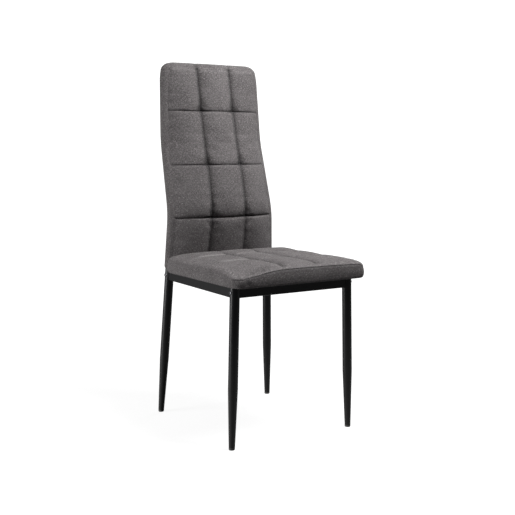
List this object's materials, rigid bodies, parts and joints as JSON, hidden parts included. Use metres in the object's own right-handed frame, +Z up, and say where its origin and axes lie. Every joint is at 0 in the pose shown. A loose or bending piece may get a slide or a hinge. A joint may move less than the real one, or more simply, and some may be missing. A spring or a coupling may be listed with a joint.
{
  "type": "dining chair",
  "caption": "High-backed dining chair with a quilted fabric seat and a gently curved quilted back on a slim black tube frame with tapered splayed legs.",
  "frame": {"origin": "on the floor under the middle of the chair: the middle of its width and of its overall depth", "axes": "+Z up, +Y towards the back of the chair, so the sitter faces -Y, +X to the right as seen from the front"},
  "size_m": [0.4, 0.4972, 0.976],
  "materials": {
    "frame_paint": "satin black powder coat",
    "black_screw_steel": "black zinc plate",
    "zinc_steel": "zinc plate",
    "black_plastic": "matt moulded",
    "plywood": "raw",
    "hardboard": "raw",
    "foam": "open-cell foam",
    "grey_weave": "heathered plain weave",
    "black_lining": "non-woven",
    "black_zip": "woven tape"
  },
  "bodies": {
    "root": {"back_cover": "grey_weave", "back_foam": "foam", "back_lower_bar": "frame_paint", "back_lumbar_bar": "frame_paint", "back_panel": "hardboard", "back_panel_screws": "zinc_steel", "back_shoulder_bar": "frame_paint", "back_top_tube": "frame_paint", "back_zip": "black_zip", "front_left_bracket": "frame_paint", "front_left_glide": "black_plastic", "front_left_leg": "frame_paint", "front_left_leg_plug": "black_plastic", "front_rail": "frame_paint", "front_right_bracket": "frame_paint", "front_right_glide": "black_plastic", "front_right_leg": "frame_paint", "front_right_leg_plug": "black_plastic", "left_side_rail": "frame_paint", "rail_bolts": "black_screw_steel", "rail_nut_inserts": "zinc_steel", "rear_left_glide": "black_plastic", "rear_left_upright": "frame_paint", "rear_rail": "frame_paint", "rear_right_glide": "black_plastic", "rear_right_upright": "frame_paint", "right_side_rail": "frame_paint", "seat_board": "plywood", "seat_cover": "grey_weave", "seat_dust_cover": "black_lining", "seat_foam": "foam", "seat_rear_bar": "frame_paint", "seat_screw_washers": "zinc_steel", "seat_screws": "zinc_steel", "seat_staples": "zinc_steel", "seat_t_nuts": "zinc_steel", "upright_left_plug": "black_plastic", "upright_right_plug": "black_plastic"}
  },
  "joints": []
}
